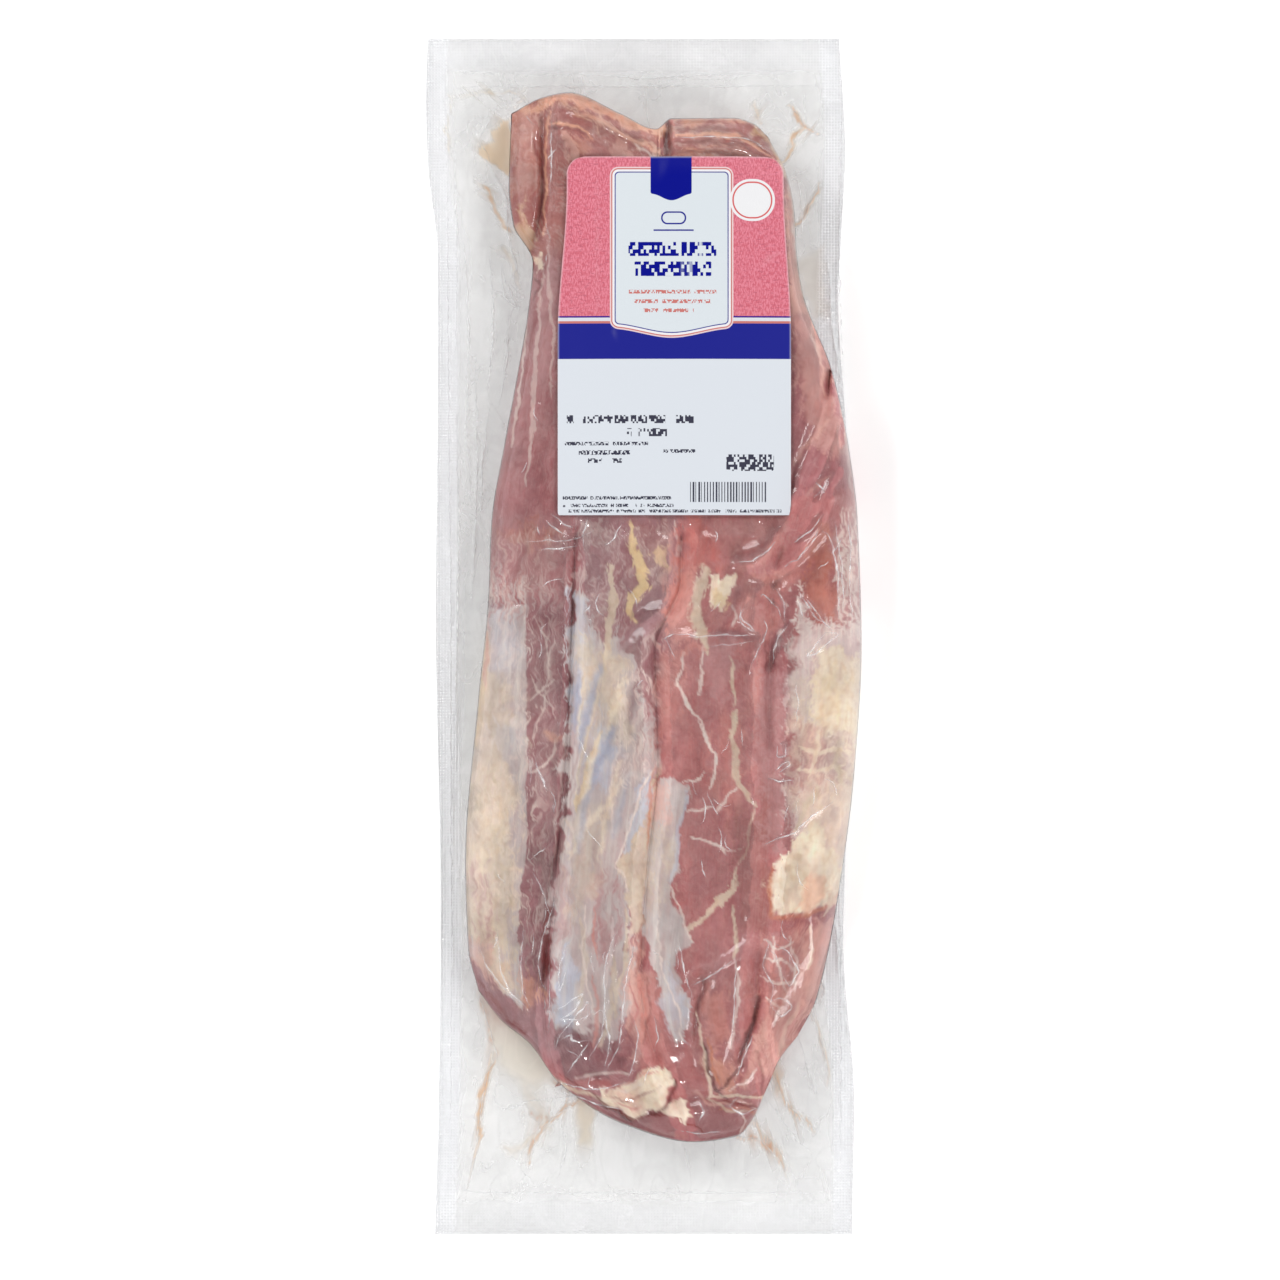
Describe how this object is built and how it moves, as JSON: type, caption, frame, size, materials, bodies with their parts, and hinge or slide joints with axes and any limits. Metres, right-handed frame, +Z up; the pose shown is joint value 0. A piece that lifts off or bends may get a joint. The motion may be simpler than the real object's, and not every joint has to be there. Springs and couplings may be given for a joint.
{
  "type": "vacuum pack of raw pork tenderloins",
  "caption": "Flat clear sealed pack of raw pork tenderloins lying side by side, with folded heads, a thin film rim all round and a plain paper label on top.",
  "frame": {"origin": "on the surface that the pack lies on, under the middle of the pack's outline", "axes": "+Y along the meat towards its folded heads and the label, +X to the right seen from above, +Z up"},
  "size_m": [0.1748, 0.48, 0.0394],
  "materials": {
    "packed_meat": "wet raw pork under tight clear film: dusky pink muscle, pale silverskin and cream fat",
    "label_paper": "smooth coated paper with plain pink, dark blue and pale grey fields",
    "clear_film": "clear glossy barrier film, slightly milky, with fine wrinkles and knurled seal bands"
  },
  "bodies": {
    "root": {"vacuum_pack": "packed_meat", "label": "label_paper"}
  },
  "joints": []
}
